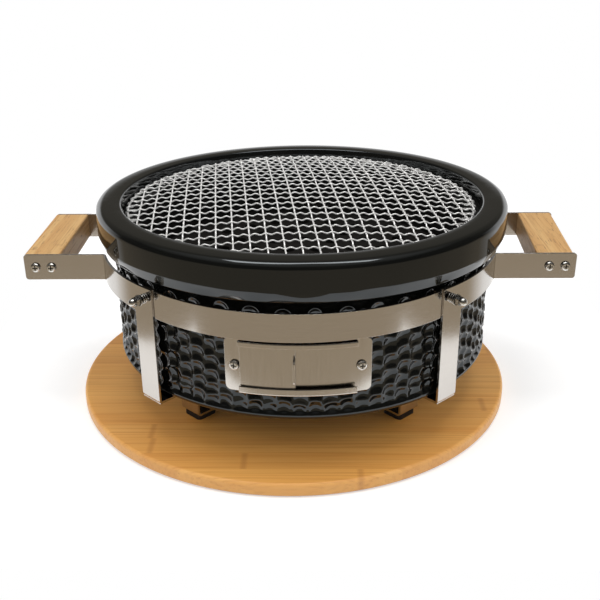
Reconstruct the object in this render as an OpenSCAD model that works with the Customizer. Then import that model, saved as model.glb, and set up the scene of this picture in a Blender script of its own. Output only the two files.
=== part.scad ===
// Charcoal brazier: a glazed bowl in a sheet-steel frame with wooden grips, on a round board.
// Lengths are in millimetres. The origin is on the board's underside, below the bowl's centre.
// -Y is the front, where the draught vent is, and +X is to the right.
// An azimuth is counted in degrees from the front towards +X.

/* [Board] */
// Radius of the round board
board_r = 192.4; // [185:0.2:220]
// Thickness of the board
board_t = 11.5; // [9:0.5:20]
// Rounding of the board's edges
board_round = 3; // [1:0.5:4]
// How far the board's centre lies to the left of the bowl's
board_shift = 8.5; // [0:0.5:10]

/* [Bowl] */
// Radius of the bowl's straight wall
wall_r = 163.5; // [156:0.5:172]
// Height of the bowl from its base to the top of its rim
bowl_h = 132; // [126:1:150]
// How far the rim stands out from the wall
rim_out = 11.5; // [10:0.5:14]
// Height of the rim's band
rim_h = 26.5; // [20:0.5:30]
// Rounding of the rim's upper edge
rim_top_round = 6; // [2:0.5:8]
// Rounding of the rim's lower edge
rim_low_round = 8; // [4:0.5:9]
// Fillet under the rim
rim_fillet = 2; // [1:0.5:2]
// Rounding of the bowl's lower edge
base_round = 5; // [2:0.5:8]
// Width of the rim's top, from its outer face to the mouth
rim_w = 21; // [18:0.5:23]
// Rounding of the mouth's edge
mouth_round = 2; // [1:0.5:3]
// Depth of the ledge that carries the mesh, below the top of the rim
mouth_d = 13.6; // [12:0.2:18]
// Draft of the mouth's wall, as the drop in its radius
mouth_draft = 1.5; // [0:0.5:3]
// Thickness of the wall at the top of the fire chamber
fire_wall = 22.5; // [20:0.5:26]
// Draft of the fire chamber's wall, as the drop in its radius
fire_draft = 2; // [0:0.5:3]
// Depth of the ledge that carries the charcoal grate, below the top of the rim
grate_d = 68; // [60:1:72]
// Thickness of the wall round the ash chamber
ash_wall = 35.5; // [33:0.5:40]
// Thickness of the bowl's floor
floor_t = 14; // [10:1:16]
// Rounding between the floor and the ash chamber's wall
ash_round = 10; // [4:1:12]
// Outer radius of the foot ring under the bowl
ring_r = 150; // [146:1:152]
// Width of the foot ring
ring_w = 30; // [20:1:36]
// Height of the foot ring
ring_h = 2; // [1:0.5:4]

/* [Draught port] */
// Width of the port through the wall
port_w = 28; // [20:1:32]
// Height of the port
port_h = 27; // [20:1:30]
// Rounding of the port's corners
port_round = 5; // [2:0.5:8]

/* [Frame straps] */
// Thickness of the sheet steel
sheet_t = 2; // [1.5:0.1:2.2]
// Height of the straps
strap_h = 22; // [18:1:26]
// Depth of the straps' upper edge below the top of the rim
strap_d = 38; // [34:1:44]
// Gap between the bowl's wall and the straps
strap_gap = 5.5; // [5.2:0.1:8]
// How far the middle of a band stands out past its ends
band_bulge = 4; // [0:0.5:6]
// Clear slot between the end of a band's face and the leg
band_slot = 3; // [2:0.2:4]
// Length over which a band's end steps in behind the leg
joggle_l = 2.4; // [1.6:0.2:2.8]
// How far the front half of the frame sits to the left of the bowl's axis
front_shift = 2; // [0:0.1:2.2]

/* [Legs and feet] */
// Azimuth of the legs
leg_az = 43.6; // [42:0.1:46]
// Width of a leg
leg_w = 22; // [20:1:24]
// Inner radius of the sheet's bends
bend_in = 1; // [0.5:0.5:1.5]
// Height from the pads to the seat under the bowl
foot_h = 30; // [26:1:40]
// Radius of the feet's outer faces
foot_r = 133; // [131:0.5:136]
// Length of a foot's sole
sole_l = 20; // [16:1:24]
// Thickness of a rubber pad
pad_t = 4.5; // [3:0.5:8]
// Width of a rubber pad
pad_w = 19.5; // [16:0.5:20]
// Length of a rubber pad
pad_l = 19; // [14:0.5:20]
// Rounding of a pad's corners
pad_round = 3; // [1:0.5:4]
// Sinking of the pad's outer end behind the foot's face
pad_set = 1.5; // [0.5:0.5:2]

/* [Handles] */
// Distance from the middle of the frame's front half to the outer ends of its handle plates
reach_front = 229.3; // [226:0.1:240]
// Distance from the middle of the frame's back half to the outer ends of its handle plates
reach_back = 233.5; // [228:0.1:245]
// Distance of the front handle plates' inner faces from the bowl's axis
plate_front = 52; // [45:0.5:56]
// Distance of the back handle plates' inner faces from the bowl's axis
plate_back = 55; // [45:0.5:57]
// Inner radius of the bend between a strap and its handle plate
handle_bend = 2; // [1.5:0.5:5]
// Length of the straight stretch between the round strap and that bend
bend_lead = 1; // [0.5:0.5:3]
// Rounding of the handle plates' outer corners
plate_round = 2.5; // [1:0.5:6]
// Thickness of a wooden grip, along the plates
grip_w = 30; // [26:1:34]
// How far the left grip ends short of its plates
grip_set_left = 0.4; // [0:0.1:3]
// How far the right grip ends short of its front plate
grip_set_front_right = 2.7; // [0:0.1:3]
// How far the right grip ends short of its back plate
grip_set_back_right = 1.3; // [0:0.1:3]
// Rounding of a grip's long edges
grip_round = 1.5; // [0.5:0.5:6]
// Distance of the left grip's outer screws from its outer face
screw_in_left = 8.9; // [5.8:0.1:10]
// Distance of the right grip's outer screws from its outer face
screw_in_right = 6; // [5.8:0.1:10]
// Distance between the two screws of a plate
screw_pitch = 13.2; // [10:0.2:13.6]
// Length of a grip screw below its head
grip_screw_l = 20; // [14:1:26]

/* [Screws and clamps] */
// Diameter of the shanks
shank_d = 4; // [3.5:0.1:4.2]
// Diameter of the pan heads
head_d = 8; // [7:0.2:8.4]
// Height of the pan heads
head_h = 2.6; // [2.2:0.1:2.8]
// Rounding of the pan heads
head_round = 1.8; // [1:0.1:2]
// Width of the cross recess
cross_w = 4.4; // [3:0.2:5]
// Width of one slot of the cross recess
slot_w = 0.9; // [0.6:0.1:1.2]
// Depth of the cross recess
cross_d = 1.4; // [0.8:0.1:1.6]
// Distance of a clamp bolt from the leg's front edge
bolt_in = 5.5; // [5:0.1:8]
// Height of the clamp bolts above the middle of the straps
bolt_up = 4; // [0:0.5:6]
// Height of a clamp bolt's low head
bolt_head_h = 1.6; // [1:0.1:1.7]
// Diameter of a clamp bolt's low head
bolt_head_d = 7.6; // [6.6:0.2:8]
// Outer diameter of a clamp spring
spring_d = 7.6; // [7.2:0.1:8]
// Thickness of the spring wire
wire_d = 1.1; // [0.8:0.05:1.2]
// Number of the spring's turns
spring_turns = 3; // [2:0.5:3]
// Fitted length of a clamp spring
spring_l = 7; // [6.8:0.1:9]
// Diameter of a clamp washer
washer_d = 9; // [8.2:0.2:10]
// Thickness of a clamp washer
washer_t = 0.8; // [0.5:0.1:1.2]
// Width of a cap nut across its flats
nut_w = 7; // [6.6:0.1:8]
// Height of a cap nut's hexagon
nut_h = 3.4; // [3:0.1:4]
// Radius of a cap nut's dome
dome_r = 3.2; // [3.1:0.1:3.3]

/* [Vent] */
// Thickness of the vent's plate and door
vent_t = 1.5; // [1:0.1:1.6]
// Width of the plate along the wall
vent_w = 111; // [108:0.5:118]
// Height of the plate
vent_h = 43.2; // [40:0.2:46]
// Height of the plate's lower edge above the bowl's base
vent_up = 24.5; // [20:0.5:28]
// Rounding of the plate's corners
vent_round = 4; // [1:0.5:6]
// Turn of the whole vent to the right, in degrees
vent_turn = -0.5; // [-2:0.1:2]
// Length of the two rails
rail_l = 89; // [86:0.5:90]
// Thickness of the rails' sheet
rail_t = 1.3; // [1:0.1:1.5]
// Height of the upper rail's lip
lip_top_h = 4; // [3:0.2:6]
// Height of the lower rail's lip
lip_low_h = 5.6; // [3:0.2:6]
// Outer rounding of the rails
rail_round = 1.2; // [0.4:0.2:1.2]
// Width of the sliding door
door_w = 41.8; // [38:0.2:43]
// Height of the door's finger tab
tab_h = 18.6; // [12:0.2:24]
// Reach of the finger tab from the door
tab_out = 6.5; // [4:0.5:8]
// Rounding of the finger tab's corners
tab_round = 2; // [0.5:0.5:3]
// Distance between the vent's two screws along the wall
vent_screw_gap = 95.2; // [95:0.2:98]
// Length of a vent screw below its head
vent_screw_l = 14; // [10:1:18]

/* [Mesh grate] */
// Radius of the mesh's hoop
mesh_r = 148.5; // [147:0.25:149.5]
// Thickness of the hoop's wire
hoop_d = 1.6; // [1.2:0.1:2.4]
// Thickness of the mesh's wires
mesh_d = 1.3; // [1:0.1:1.6]
// Distance between the wires
mesh_pitch = 15.6; // [15:0.2:22]
// Rise of the mesh's crown over its edge
mesh_rise = 12; // [4:1:20]
// Turn of the mesh in its seat, in degrees
mesh_turn = 2; // [-20:1:20]

/* [Charcoal grate] */
// Radius of the charcoal grate
grate_r = 137; // [134:0.5:137.5]
// Thickness of the charcoal grate
grate_t = 6; // [4:0.5:10]
// Diameter of its holes
hole_d = 12; // [8:0.5:14]
// Distance between its rings of holes
hole_pitch = 26; // [24:0.5:30]
// Width of its solid border
border_w = 14; // [13:0.5:22]

/* [Clearances] */
// Seat gap of a curved piece on its bearer
seat_gap = 0.3; // [0.2:0.05:0.4]
// Gap between a piece of curved sheet and the sheet behind it
sheet_gap = 0.1; // [0.05:0.05:0.2]
// Radial clearance of the drilled holes in the sheet
hole_gap = 0.25; // [0.15:0.05:0.4]
// Radial clearance of the shanks in wood, glaze and nuts
bite_gap = 0.05; // [0.02:0.01:0.1]
// Clearance of the door in its rails
door_gap = 0.6; // [0.4:0.1:0.8]
// Gap between crossing wires
wire_gap = 0.05; // [0.02:0.01:0.1]

/* [Hidden] */
$fn = 96;

glaze = "#24251f";
steel = "#b4aa9c";
bright_steel = "#cfcfcc";
bamboo = "#d3a468";
pale_wood = "#e0bb84";
rubber = "#22201e";
iron = "#3b3a38";

// Heights
pad_z = board_t;
sole_z = pad_z + pad_t;
seat_z = sole_z + foot_h;
bowl_z = seat_z + ring_h;
rim_z = bowl_z + bowl_h;
rim_low_z = rim_z - rim_h;
mesh_ledge_z = rim_z - mouth_d;
hoop_z = mesh_ledge_z + seat_gap + hoop_d / 2;
grate_ledge_z = rim_z - grate_d;
floor_z = bowl_z + floor_t;
strap_z = rim_z - strap_d - strap_h;
bolt_z = strap_z + strap_h / 2 + bolt_up;
vent_z = bowl_z + vent_up;
vent_mid_z = vent_z + vent_h / 2;

// Radii
rim_r = wall_r + rim_out;
mouth_r = rim_r - rim_w;
fire_r = wall_r - fire_wall;
ash_r = wall_r - ash_wall;
strap_in = wall_r + strap_gap;
strap_r = strap_in + sheet_t;
tongue_r = strap_in - sheet_gap;
leg_bolt_az = leg_az - deg_of(leg_w / 2 - bolt_in, strap_r);
leg_edge_az = leg_az - deg_of(leg_w / 2, strap_r);
band_end_az = leg_edge_az - deg_of(band_slot, strap_r);

// How far the foot's side edges, and the leg's lower end, stay inside the sheet's outline
foot_inset = 0.05;

// The straight stretch before a handle's bend laps into the curves at both its ends, and stays
// this much inside the sheet's faces
lead_lap = 0.2;
lead_inset = 0.02;

// How far the rails' flanges lie inside the edges of the vent's plate
rail_inset = 0.1;

// The vent's layers, from the wall outwards
plate_in = wall_r + seat_gap;
plate_r = plate_in + vent_t;
door_in = plate_r + door_gap;
door_r = door_in + vent_t;
lip_in = door_r + door_gap;
lip_r = lip_in + rail_t;
vent_screw_az = deg_of(vent_screw_gap / 2, plate_r);
door_z = vent_z + rail_inset + rail_t + seat_gap;
door_h = vent_h - 2 * (rail_inset + rail_t + seat_gap);
door_az = -vent_screw_az + deg_of(head_d / 2 + door_gap, plate_r);
door_mid_az = door_az + deg_of(door_w / 2, door_r);
tab_z = vent_mid_z - tab_h / 2;

// The clamps' layers, from the leg outwards
washer_r = strap_r + seat_gap + spring_l;
nut_r = washer_r + washer_t + sheet_gap;
dome_mid = nut_r + nut_h + dome_r / 2;

// Degrees round a circle of radius r that an arc of this length takes
function deg_of(length, r) = length / r * 180 / PI;

// Reach of a handle plate from the middle of its half of the frame
function reach(end) = end < 0 ? reach_front : reach_back;

// Distance of a handle plate's inner face from the bowl's axis
function plate_y(end) = end < 0 ? plate_front : plate_back;

// How far a grip's outer face lies inside a plate's end
function grip_set(side, end) =
    side < 0 ? grip_set_left : end < 0 ? grip_set_front_right : grip_set_back_right;

// How far the two screws through a plate lie inside its end
function screw_sets(side, end) =
    let (first = grip_set(side, end) + (side < 0 ? screw_in_left : screw_in_right))
    [first, first + screw_pitch];

// Distance of a grip's outer face, at one of its plates, from the bowl's middle
function grip_out(side, end) =
    reach(end) - grip_set(side, end) - (end < 0 ? side * front_shift : 0);

// Rectangle from corner a to corner b with rounded corners
module round_rect(a, b, r) {
    translate([a.x + r, a.y]) square([b.x - a.x - 2 * r, b.y - a.y]);
    translate([a.x, a.y + r]) square([b.x - a.x, b.y - a.y - 2 * r]);
    for (x = [a.x + r, b.x - r], y = [a.y + r, b.y - r])
        translate([x, y]) circle(r);
}

// What a rounding takes off a corner whose tip points along way, such as [1, -1]
module corner_waste(tip, way, r) {
    mid = tip - r * way;
    difference() {
        translate([min(mid.x, tip.x + way.x), min(mid.y, tip.y + way.y)]) square(r + 1);
        translate(mid) circle(r);
    }
}

// What a fillet adds in a corner that opens along way
module corner_fill(tip, way, r) {
    mid = tip + r * way;
    back = tip - 0.5 * way;
    difference() {
        translate([min(mid.x, back.x), min(mid.y, back.y)]) square(r + 0.5);
        translate(mid) circle(r);
    }
}

// Ring sector in plan between two azimuths
module sector(r_in, r_out, az0, az1) {
    far = 1.5 * r_out;
    intersection() {
        difference() {
            circle(r_out);
            circle(r_in);
        }
        polygon([[0, 0], at_az(far, az0), at_az(far, (az0 + az1) / 2), at_az(far, az1)]);
    }
}

// Plan point at a radius and azimuth
function at_az(r, az) = [r * sin(az), -r * cos(az)];

// Revolves a drawing of radius and height between two azimuths
module revolve(az0, az1) {
    rotate([0, 0, az0 - 90]) rotate_extrude(angle = az1 - az0) children();
}

// Runs a drawing of x and height from y0 to y1
module along_y(y0, y1) {
    translate([0, y1, 0]) rotate([90, 0, 0]) linear_extrude(y1 - y0) children();
}

// Turns what points up to point outwards at an azimuth, with its foot at a radius and height
module outwards(az, r, z) {
    rotate([0, 0, az - 90]) translate([r, 0, z]) rotate([0, 90, 0]) children();
}

// Puts what is drawn for the frame's front right corner at another corner. A side of -1 is the
// left, and an end of -1 is the front.
module at_corner(side, end) {
    translate([end < 0 ? -front_shift : 0, 0, 0])
        mirror([side < 0 ? 1 : 0, 0, 0]) mirror([0, end < 0 ? 0 : 1, 0]) children();
}

// Puts what is drawn for the front right corner at all four corners
module at_corners() {
    for (side = [-1, 1], end = [-1, 1]) at_corner(side, end) children();
}

// Pan head with a cross recess, standing on its seat
module pan_head(d, h, rounding) {
    difference() {
        rotate_extrude() difference() {
            square([d / 2, h]);
            corner_waste([d / 2, h], [1, 1], rounding);
        }
        for (turn = [0, 90])
            rotate([0, 0, turn]) translate([-cross_w / 2, -slot_w / 2, h - cross_d])
                cube([cross_w, slot_w, cross_d + 1]);
    }
}

// Screw along its axis, with its head above the seat at height 0
module screw(length) {
    pan_head(head_d, head_h, head_round);
    translate([0, 0, -length]) cylinder(d = shank_d, h = length + 0.5);
}

module bamboo_board() {
    color(bamboo) translate([-board_shift, 0, 0]) rotate_extrude() difference() {
        square([board_r, board_t]);
        corner_waste([board_r, board_t], [1, 1], board_round);
        corner_waste([board_r, 0], [1, -1], board_round);
    }
}

// Half section of the bowl's outside
module bowl_outline() {
    difference() {
        union() {
            translate([0, bowl_z]) square([wall_r, bowl_h]);
            translate([0, rim_low_z]) square([rim_r, rim_h]);
            translate([ring_r - ring_w, seat_z]) square([ring_w, ring_h + 1]);
            corner_fill([wall_r, rim_low_z], [1, -1], rim_fillet);
        }
        corner_waste([rim_r, rim_z], [1, 1], rim_top_round);
        corner_waste([rim_r, rim_low_z], [1, -1], rim_low_round);
        corner_waste([wall_r, bowl_z], [1, -1], base_round);
    }
}

// Half section of the mouth, the fire chamber and the ash chamber
module bowl_hollow() {
    difference() {
        polygon([
            [0, rim_z + 1], [mouth_r, rim_z + 1], [mouth_r, rim_z],
            [mouth_r - mouth_draft, mesh_ledge_z], [fire_r, mesh_ledge_z],
            [fire_r - fire_draft, grate_ledge_z], [ash_r, grate_ledge_z],
            [ash_r, floor_z], [0, floor_z],
        ]);
        corner_fill([ash_r, floor_z], [-1, 1], ash_round);
    }
}

// Outline of the port through the wall, larger by margin on all sides
module port_outline(margin = 0) {
    mid = at_az(wall_r, door_mid_az).x;
    low = vent_mid_z - port_h / 2;
    round_rect([mid - port_w / 2 - margin, low - margin],
               [mid + port_w / 2 + margin, low + port_h + margin], port_round + margin);
}

module ceramic_body() {
    color(glaze) difference() {
        rotate_extrude() difference() {
            bowl_outline();
            bowl_hollow();
            corner_waste([mouth_r, rim_z], [-1, 1], mouth_round);
        }
        rotate([0, 0, vent_turn]) {
            along_y(-wall_r - 1, -ash_r * cos(door_az) + 20) port_outline();
            for (side = [-1, 1])
                outwards(side * vent_screw_az, wall_r - vent_screw_l, vent_mid_z)
                    cylinder(d = shank_d + 2 * bite_gap, h = vent_screw_l + 1);
        }
    }
}

module charcoal_grate() {
    rings = floor((grate_r - border_w - hole_d / 2) / hole_pitch);
    color(iron) translate([0, 0, grate_ledge_z]) difference() {
        cylinder(r = grate_r, h = grate_t);
        translate([0, 0, -1]) cylinder(d = hole_d, h = grate_t + 2);
        for (ring = [1 : rings], k = [0 : 6 * ring - 1])
            rotate([0, 0, 60 * k / ring]) translate([ring * hole_pitch, 0, -1])
                cylinder(d = hole_d, h = grate_t + 2);
    }
}

// One layer of parallel wires, bent to arcs on a dome whose edge has this height
module wire_layer(edge_z) {
    dome = (pow(mesh_r, 2) + pow(mesh_rise, 2)) / (2 * mesh_rise);
    mid_z = edge_z + mesh_rise - dome;
    n = floor((mesh_r - mesh_pitch / 4) / mesh_pitch);
    for (k = [-n : n]) {
        off = k * mesh_pitch;
        bow = sqrt(pow(dome, 2) - pow(off, 2));
        half = asin(sqrt(pow(mesh_r, 2) - pow(off, 2)) / bow);
        translate([0, off, mid_z]) rotate([90, 0, 0]) rotate([0, 0, 90 - half])
            rotate_extrude(angle = 2 * half) translate([bow, 0]) circle(d = mesh_d);
    }
}

module mesh_hoop() {
    color(bright_steel) translate([0, 0, hoop_z])
        rotate_extrude() translate([mesh_r, 0]) circle(d = hoop_d);
}

module mesh_grate() {
    low_z = hoop_z + hoop_d / 2 + wire_gap + mesh_d / 2;
    color(bright_steel) rotate([0, 0, mesh_turn]) {
        rotate([0, 0, 90]) wire_layer(low_z);
        wire_layer(low_z + mesh_d + wire_gap);
    }
}

// Plan of a band: a bowed arc between the legs, whose ends step in behind them
module band_plan() {
    half_chord = strap_r * sin(band_end_az);
    sagitta = strap_r + band_bulge - strap_r * cos(band_end_az);
    bow_r = (pow(half_chord, 2) + pow(sagitta, 2)) / (2 * sagitta);
    back = [0, bow_r - strap_r - band_bulge];
    bow_az = asin(half_chord / bow_r);
    step_az = band_end_az + deg_of(joggle_l, strap_r);
    end_az = leg_bolt_az + deg_of(bolt_in, strap_r);
    lap = 0.5;
    translate(back) sector(bow_r - sheet_t, bow_r, -bow_az, bow_az);
    for (side = [0, 1]) mirror([side, 0]) {
        polygon([
            back + at_az(bow_r, bow_az - lap), back + at_az(bow_r, bow_az),
            at_az(tongue_r, step_az), at_az(tongue_r, step_az + lap),
            at_az(tongue_r - sheet_t, step_az + lap), at_az(tongue_r - sheet_t, step_az),
            back + at_az(bow_r - sheet_t, bow_az), back + at_az(bow_r - sheet_t, bow_az - lap),
        ]);
        sector(tongue_r - sheet_t, tongue_r, step_az, end_az);
    }
}

// Band of the frame's front half, before the half is moved to its place
module band() {
    color(steel) difference() {
        translate([0, 0, strap_z]) linear_extrude(strap_h) band_plan();
        for (side = [0, 1]) mirror([side, 0, 0]) clamp_hole();
    }
}

module front_band() {
    at_corner(1, -1) band();
}

module back_band() {
    at_corner(1, 1) band();
}

// Hole for a clamp bolt through the front right leg and band
module clamp_hole() {
    outwards(leg_bolt_az, strap_in - 4 * sheet_t, bolt_z)
        cylinder(d = shank_d + 2 * hole_gap, h = 8 * sheet_t);
}

// Quarter ring of sheet, from the side towards way of its bend's middle
module sheet_bend(mid, way) {
    out = bend_in + sheet_t;
    intersection() {
        translate(mid) difference() {
            circle(out);
            circle(bend_in);
        }
        translate([min(mid.x, mid.x + way.x * out), min(mid.y, mid.y + way.y * out)]) square(out);
    }
}

// Section of a foot: in under the bowl from the leg, down to the pad and in along the sole
module foot_section() {
    leg_x = strap_in + sheet_t / 2;
    knee = [foot_r + bend_in, seat_z - sheet_t - bend_in];
    heel = [foot_r - sheet_t - bend_in, sole_z + sheet_t + bend_in];
    translate([knee.x, seat_z - sheet_t]) square([leg_x - knee.x, sheet_t]);
    sheet_bend(knee, [-1, 1]);
    translate([foot_r - sheet_t, heel.y]) square([sheet_t, knee.y - heel.y]);
    sheet_bend(heel, [1, -1]);
    translate([foot_r - sole_l, sole_z]) square([heel.x - foot_r + sole_l, sheet_t]);
}

// Plan of a corner's strap, from its leg round the side and out along the handle
module strap_plan(end) {
    bend_mid = strap_r + handle_bend;
    bend_y = plate_y(end) + sheet_t + handle_bend;
    lead_az = acos(bend_y / norm([bend_mid, bend_lead])) - atan2(bend_lead, bend_mid);
    bend_x = bend_mid * sin(lead_az) + bend_lead * cos(lead_az);
    intersection() {
        sector(strap_in, strap_r, leg_az - 90, lead_az);
        rotate(leg_az - 90) translate([0, -leg_w / 2]) square(2 * strap_r);
    }
    rotate(lead_az - 90) translate([strap_in + lead_inset, -lead_lap])
        square([sheet_t - 2 * lead_inset, bend_lead + 2 * lead_lap]);
    translate([bend_x, -bend_y]) intersection() {
        difference() {
            circle(handle_bend + sheet_t);
            circle(handle_bend);
        }
        polygon([[0, 0], [0, 30], [-30, 30], 30 * [-sin(lead_az), cos(lead_az)]]);
    }
    translate([bend_x, -plate_y(end) - sheet_t]) square([reach(end) - bend_x, sheet_t]);
}

// A corner's bracket: one bent sheet with its strap, handle plate, leg and foot
module bracket(side, end) {
    spread = deg_of(leg_w, strap_r);
    leg_z = seat_z - sheet_t + foot_inset;
    far = 2 * reach(end);
    color(steel) at_corner(side, end) difference() {
        union() {
            difference() {
                translate([0, 0, leg_z]) linear_extrude(strap_z + strap_h - leg_z)
                    strap_plan(end);
                rotate([0, 0, leg_az - 90]) translate([-far / 2, leg_w / 2, 0])
                    cube([far, far, strap_z]);
                revolve(leg_az - spread, leg_az + spread)
                    corner_waste([strap_r, leg_z], [1, -1], bend_in + sheet_t);
            }
            rotate([0, 0, leg_az]) translate([leg_w / 2 - foot_inset, 0, 0])
                rotate([90, 0, -90]) linear_extrude(leg_w - 2 * foot_inset) foot_section();
        }
        clamp_hole();
        along_y(-plate_y(end) - 2 * sheet_t, -plate_y(end) + sheet_t) {
            for (z = [[strap_z, -1], [strap_z + strap_h, 1]])
                corner_waste([reach(end), z[0]], [1, z[1]], plate_round);
            for (set = screw_sets(side, end))
                translate([reach(end) - set, strap_z + strap_h / 2])
                    circle(d = shank_d + 2 * hole_gap);
        }
    }
}

module bracket_front_left() {
    bracket(-1, -1);
}

module bracket_front_right() {
    bracket(1, -1);
}

module bracket_back_left() {
    bracket(-1, 1);
}

module bracket_back_right() {
    bracket(1, 1);
}

// Rubber pad under a foot, drawn for the front right corner
module foot_pad() {
    end = foot_r - pad_set;
    color(rubber) rotate([0, 0, leg_az - 90]) translate([0, 0, pad_z]) linear_extrude(pad_t)
        round_rect([end - pad_l, -pad_w / 2], [end, pad_w / 2], pad_round);
}

module foot_pad_front_left() {
    at_corner(-1, -1) foot_pad();
}

module foot_pad_front_right() {
    at_corner(1, -1) foot_pad();
}

module foot_pad_back_left() {
    at_corner(-1, 1) foot_pad();
}

module foot_pad_back_right() {
    at_corner(1, 1) foot_pad();
}

// Places of a handle's four screws, along y with their heads outwards
module at_grip_screws(side) {
    for (end = [-1, 1], set = screw_sets(side, end)) at_corner(side, end)
        translate([reach(end) - set, -plate_y(end) - sheet_t, strap_z + strap_h / 2])
            rotate([90, 0, 0]) children();
}

// A grip: a bar from plate to plate, whose ends are cut flat to sit on them
module grip(side) {
    front = [grip_out(side, -1), -plate_front];
    back = [grip_out(side, 1), plate_back];
    bar_l = 2 * norm(back - front);
    color(pale_wood) difference() {
        mirror([side < 0 ? 1 : 0, 0, 0]) intersection() {
            translate([(front.x + back.x) / 2, (front.y + back.y) / 2, 0])
                rotate([0, 0, atan2(back.y - front.y, back.x - front.x) - 90])
                    along_y(-bar_l / 2, bar_l / 2)
                        round_rect([-grip_w, strap_z], [0, strap_z + strap_h], grip_round);
            translate([0, -plate_front, strap_z - 1])
                cube([2 * reach_back, plate_front + plate_back, strap_h + 2]);
        }
        at_grip_screws(side) translate([0, 0, -grip_screw_l - 1])
            cylinder(d = shank_d + 2 * bite_gap, h = grip_screw_l + 2);
    }
}

module grip_left() {
    grip(-1);
}

module grip_right() {
    grip(1);
}

module grip_screws_left() {
    color(bright_steel) at_grip_screws(-1) screw(grip_screw_l);
}

module grip_screws_right() {
    color(bright_steel) at_grip_screws(1) screw(grip_screw_l);
}

// Places of the four clamps, each pointing outwards from the frame's centre line
module at_clamps(r) {
    at_corners() outwards(leg_bolt_az, r, bolt_z) children();
}

module clamp_bolts() {
    head_seat = tongue_r - sheet_t - sheet_gap;
    color(bright_steel) at_clamps(head_seat) {
        translate([0, 0, -bolt_head_h]) cylinder(d = bolt_head_d, h = bolt_head_h);
        translate([0, 0, -0.5]) cylinder(d = shank_d, h = nut_r + nut_h + 0.5 - head_seat);
    }
}

module clamp_washers() {
    color(bright_steel) at_clamps(washer_r) difference() {
        cylinder(d = washer_d, h = washer_t);
        translate([0, 0, -1]) cylinder(d = shank_d + 2 * hole_gap, h = washer_t + 2);
    }
}

module cap_nuts() {
    bore_d = shank_d + 2 * bite_gap;
    color(bright_steel) at_clamps(nut_r) difference() {
        union() {
            cylinder(d = nut_w / cos(30), h = nut_h, $fn = 6);
            translate([0, 0, nut_h - 0.5]) cylinder(r = dome_r, h = dome_mid - nut_r - nut_h + 0.5);
            translate([0, 0, dome_mid - nut_r]) sphere(dome_r);
        }
        translate([0, 0, -1]) cylinder(d = bore_d, h = nut_h + 1 + bite_gap);
    }
}

// Rings and sides of a spring's tube
ring_n = 8;
side_n = 6;

// Middle of the spring wire, and its two directions across the wire, after a number of turns
coil_r = spring_d / 2 - wire_d / 2;
coil_pitch = (spring_l - seat_gap - wire_d) / spring_turns;
function coil_mid(t) =
    [coil_r * cos(360 * t), coil_r * sin(360 * t), wire_d / 2 + coil_pitch * t];
function coil_across(t) = [cos(360 * t), sin(360 * t), 0];
function coil_up(t) =
    let (lead = atan2(coil_pitch, 2 * PI * coil_r))
    [sin(360 * t) * sin(lead), -cos(360 * t) * sin(lead), cos(lead)];

// The spring as one unbroken tube along a helix
module spring() {
    last = round(ring_n * spring_turns);
    points = [for (i = [0 : last], k = [0 : side_n - 1])
        let (t = i / ring_n, turn = 360 * k / side_n)
        coil_mid(t) + wire_d / 2 * (cos(turn) * coil_across(t) + sin(turn) * coil_up(t))];
    sides = [for (i = [0 : last - 1], k = [0 : side_n - 1], half = [0, 1])
        let (a = i * side_n + k, b = i * side_n + (k + 1) % side_n)
        half == 0 ? [a, a + side_n, b] : [b, a + side_n, b + side_n]];
    end = last * side_n;
    first_end = [for (k = [1 : side_n - 2]) [0, k, k + 1]];
    last_end = [for (k = [1 : side_n - 2]) [end, end + k + 1, end + k]];
    polyhedron(points, concat(sides, first_end, last_end));
    gaps = [for (i = [0 : last - ring_n / 2], j = [i + ring_n / 2 : last])
        norm(coil_mid(j / ring_n) - coil_mid(i / ring_n)) - wire_d];
    echo(least_gap_of_the_spring_to_itself = min(gaps));
}

module clamp_spring() {
    color(bright_steel) outwards(leg_bolt_az, strap_r + seat_gap, bolt_z) spring();
}

module clamp_spring_front_left() {
    at_corner(-1, -1) clamp_spring();
}

module clamp_spring_front_right() {
    at_corner(1, -1) clamp_spring();
}

module clamp_spring_back_left() {
    at_corner(-1, 1) clamp_spring();
}

module clamp_spring_back_right() {
    at_corner(1, 1) clamp_spring();
}

// Section of one rail, rooted in the plate: a flange out from the wall and a lip along it
module rail_section(edge_z, way, lip_h) {
    root = plate_r - vent_t / 2;
    z = edge_z + way * rail_inset;
    difference() {
        union() {
            translate([root, min(z, z + way * rail_t)]) square([lip_r - root, rail_t]);
            translate([lip_in, min(z, z + way * lip_h)]) square([rail_t, lip_h]);
        }
        corner_waste([lip_r, z], [1, -way], rail_round);
    }
}

module vent_plate() {
    rail_az = deg_of(rail_l / 2, lip_r);
    half_w = plate_r * sin(deg_of(vent_w / 2, plate_r));
    top = vent_z + vent_h;
    color(steel) rotate([0, 0, vent_turn]) difference() {
        union() {
            intersection() {
                revolve(-45, 45) translate([plate_in, vent_z - 1]) square([vent_t, vent_h + 2]);
                along_y(-2 * wall_r, 0) round_rect([-half_w, vent_z], [half_w, top], vent_round);
            }
            revolve(-rail_az, rail_az) rail_section(vent_z, 1, lip_low_h);
            revolve(-rail_az, rail_az) rail_section(top, -1, lip_top_h);
        }
        for (side = [-1, 1]) outwards(side * vent_screw_az, wall_r - 5, vent_mid_z)
            cylinder(d = shank_d + 2 * hole_gap, h = 20);
        along_y(-2 * wall_r, 0) port_outline(0.5);
    }
}

module vent_door() {
    door_end = door_az + deg_of(door_w, door_r);
    color(steel) rotate([0, 0, vent_turn]) {
        revolve(door_az, door_end)
            translate([door_in, door_z]) square([vent_t, door_h]);
        revolve(door_end - deg_of(vent_t, door_r), door_end)
            difference() {
                translate([door_in, tab_z]) square([vent_t + tab_out, tab_h]);
                for (z = [[tab_z, -1], [tab_z + tab_h, 1]])
                    corner_waste([door_r + tab_out, z[0]], [1, z[1]], tab_round);
            }
    }
}

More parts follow.
